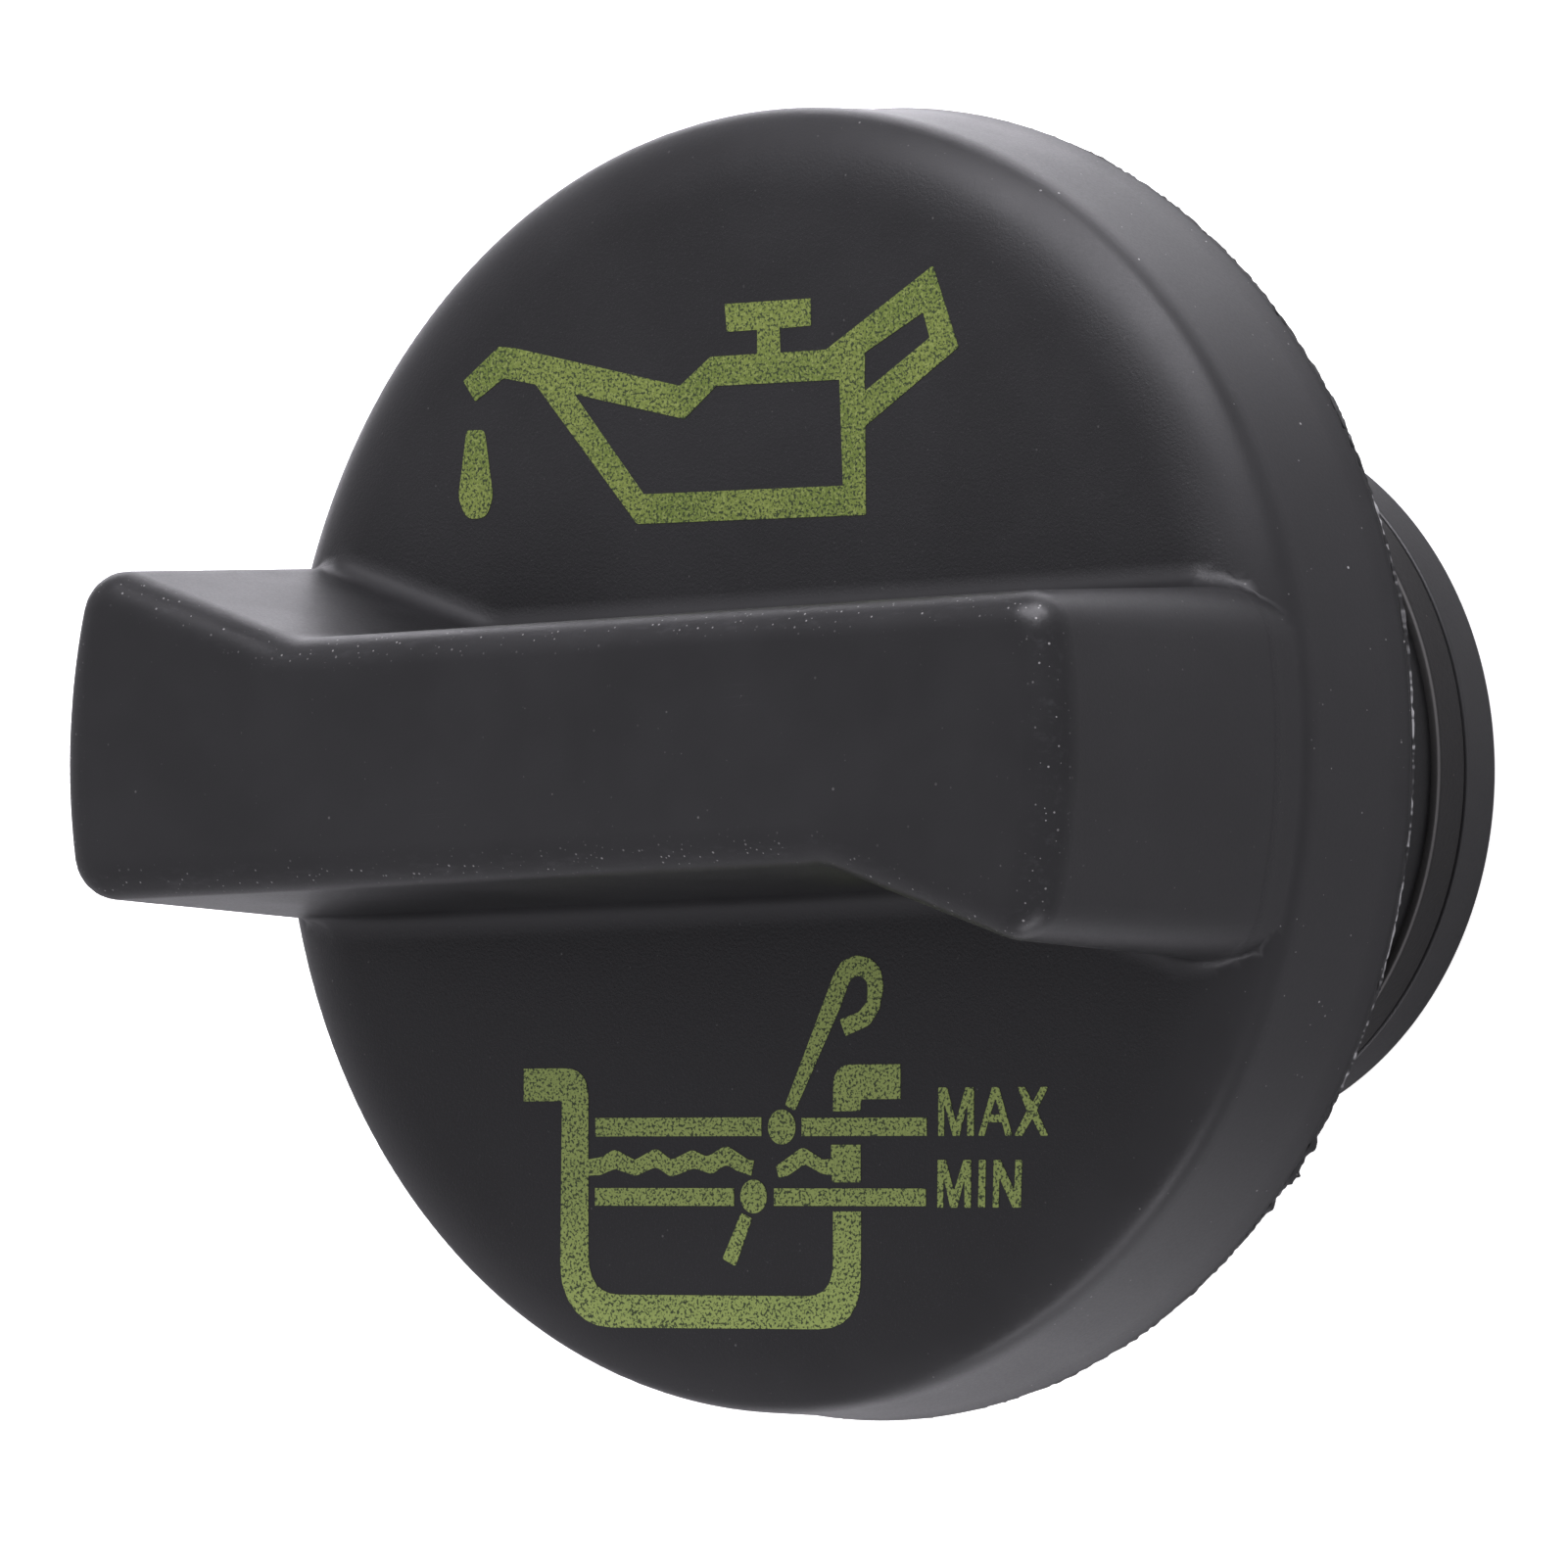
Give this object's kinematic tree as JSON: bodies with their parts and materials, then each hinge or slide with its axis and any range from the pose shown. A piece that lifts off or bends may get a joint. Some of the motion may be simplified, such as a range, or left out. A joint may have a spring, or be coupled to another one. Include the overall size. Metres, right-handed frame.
{
  "type": "oil filler cap",
  "caption": "Round quarter-turn oil filler cap with a flared bar grip, a deep skirt, a hollow plug with bayonet lugs and a rubber seal ring.",
  "frame": {"origin": "centre of the plug's rear end, on the plane that the cap stands on", "axes": "+Z out of the face, X along the grip, Y across it"},
  "size_m": [0.066, 0.066, 0.0539],
  "materials": {
    "knob_plastic": "black moulded plastic, finely grained on the face, satin on the grip and the skirt, with a yellow-green print",
    "plug_plastic": "black moulded plastic, satin",
    "seal_rubber": "black rubber, matte"
  },
  "bodies": {
    "root": {"knob": "knob_plastic", "plug": "plug_plastic", "seal_ring": "seal_rubber"}
  },
  "joints": []
}
